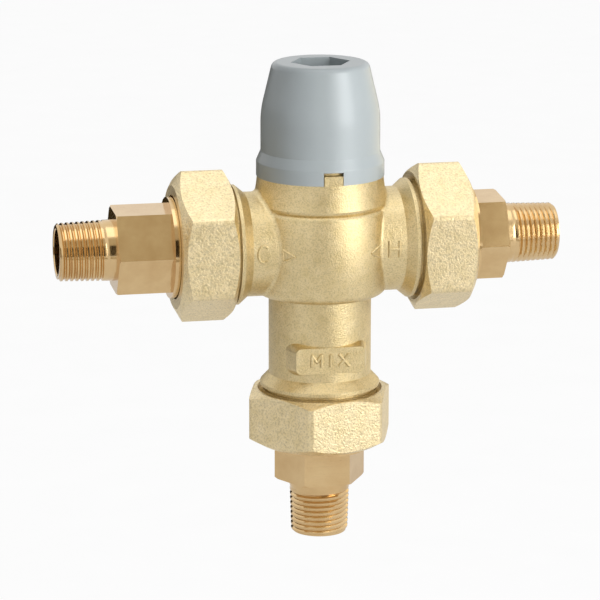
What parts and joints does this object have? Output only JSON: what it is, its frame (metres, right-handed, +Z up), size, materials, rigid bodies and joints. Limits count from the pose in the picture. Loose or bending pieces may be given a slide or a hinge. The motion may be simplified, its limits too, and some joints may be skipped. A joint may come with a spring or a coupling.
{
  "type": "three-way mixing valve",
  "caption": "Brass tee-shaped mixing valve with a grey protective cap, union nuts and threaded tailpieces for cold, hot and mixed water.",
  "frame": {"origin": "centre of the mixed outlet tailpiece's open end face", "axes": "+Z up along the spindle and cap, +X towards the hot inlet, -X towards the cold inlet, front (marked pad) faces -Y"},
  "size_m": [0.1776, 0.051, 0.1689],
  "materials": {
    "forged_brass": "bead-blasted forging",
    "nut_brass": "bead-blasted forging with machined faces",
    "tail_brass": "machined",
    "machined_brass": "machined",
    "cap_plastic": "moulded semi-gloss",
    "seal_rubber": "matt",
    "spring_steel": "drawn",
    "valve_polymer": "moulded",
    "gasket_fibre": "pressed fibre",
    "element_copper": "drawn copper"
  },
  "bodies": {
    "valve": {"valve_body": "forged_brass", "bonnet": "machined_brass", "bonnet_o_ring": "seal_rubber", "spring_seat": "valve_polymer", "cold_union_gasket": "gasket_fibre", "hot_union_gasket": "gasket_fibre", "outlet_union_gasket": "gasket_fibre", "return_spring": "spring_steel"},
    "cap": {"protective_cap": "cap_plastic"},
    "spindle": {"spindle": "machined_brass", "spindle_clip": "spring_steel", "upper_spindle_o_ring": "seal_rubber", "lower_spindle_o_ring": "seal_rubber"},
    "carriage": {"carriage": "valve_polymer", "carriage_retainer": "machined_brass", "override_cup": "machined_brass", "override_spring": "spring_steel", "element_piston": "spring_steel"},
    "thermal_shuttle": {"element_capsule": "element_copper", "shuttle": "valve_polymer", "shuttle_o_ring": "seal_rubber"},
    "cold_tail": {"cold_union_tail": "tail_brass", "cold_check_housing": "valve_polymer", "cold_check_o_ring": "seal_rubber", "cold_check_spring": "spring_steel"},
    "cold_poppet": {"cold_check_poppet": "valve_polymer", "cold_check_seal": "seal_rubber"},
    "hot_tail": {"hot_union_tail": "tail_brass", "hot_check_housing": "valve_polymer", "hot_check_o_ring": "seal_rubber", "hot_check_spring": "spring_steel"},
    "hot_poppet": {"hot_check_poppet": "valve_polymer", "hot_check_seal": "seal_rubber"},
    "outlet_tail": {"outlet_union_tail": "tail_brass"},
    "cold_nut": {"cold_union_nut": "nut_brass"},
    "hot_nut": {"hot_union_nut": "nut_brass"},
    "outlet_nut": {"outlet_union_nut": "nut_brass"}
  },
  "joints": [
    {"name": "cap_lift", "type": "slide", "parent": "valve", "child": "cap", "axis": [0, 0, 1], "range_m": [0, 0.045]},
    {"name": "spindle_turn", "type": "hinge", "parent": "valve", "child": "spindle", "pos_m": [0, 0, 0.1053], "axis": [0, 0, 1], "range_deg": [-241, 241]},
    {"name": "carriage_slide", "type": "slide", "parent": "valve", "child": "carriage", "axis": [0, 0, 1], "range_m": [-0.001, 0.001]},
    {"name": "shuttle_slide", "type": "slide", "parent": "carriage", "child": "thermal_shuttle", "axis": [0, 0, -1], "range_m": [-0.0008, 0.0008], "stiffness_N_per_m": 2000, "deforming": ["return_spring"]},
    {"name": "cold_union_travel", "type": "slide", "parent": "valve", "child": "cold_tail", "axis": [-1, 0, 0], "range_m": [0, 0.0075]},
    {"name": "cold_union_turn", "type": "hinge", "parent": "cold_tail", "child": "cold_nut", "pos_m": [0, 0, 0.1053], "axis": [-1, 0, 0], "range_deg": [0, 1171]},
    {"name": "hot_union_travel", "type": "slide", "parent": "valve", "child": "hot_tail", "axis": [1, 0, 0], "range_m": [0, 0.0075]},
    {"name": "hot_union_turn", "type": "hinge", "parent": "hot_tail", "child": "hot_nut", "pos_m": [0, 0, 0.1053], "axis": [1, 0, 0], "range_deg": [0, 1171]},
    {"name": "outlet_union_travel", "type": "slide", "parent": "valve", "child": "outlet_tail", "axis": [0, 0, -1], "range_m": [0, 0.0075]},
    {"name": "outlet_union_turn", "type": "hinge", "parent": "outlet_tail", "child": "outlet_nut", "pos_m": [0, 0, 0.04], "axis": [0, 0, -1], "range_deg": [0, 1171]},
    {"name": "cold_check_open", "type": "slide", "parent": "cold_tail", "child": "cold_poppet", "axis": [1, 0, 0], "range_m": [0, 0.0035], "stiffness_N_per_m": 60, "springref_m": -0.002, "deforming": ["cold_check_spring"]},
    {"name": "hot_check_open", "type": "slide", "parent": "hot_tail", "child": "hot_poppet", "axis": [-1, 0, 0], "range_m": [0, 0.0035], "stiffness_N_per_m": 60, "springref_m": -0.002, "deforming": ["hot_check_spring"]}
  ],
  "couplings": [
    {"joint": "spindle_turn", "follows": "carriage_slide", "rad_per_m": -4188.8},
    {"joint": "cold_union_turn", "follows": "cold_union_travel", "rad_per_m": 2721.2},
    {"joint": "hot_union_turn", "follows": "hot_union_travel", "rad_per_m": 2721.2},
    {"joint": "outlet_union_turn", "follows": "outlet_union_travel", "rad_per_m": 2721.2}
  ]
}
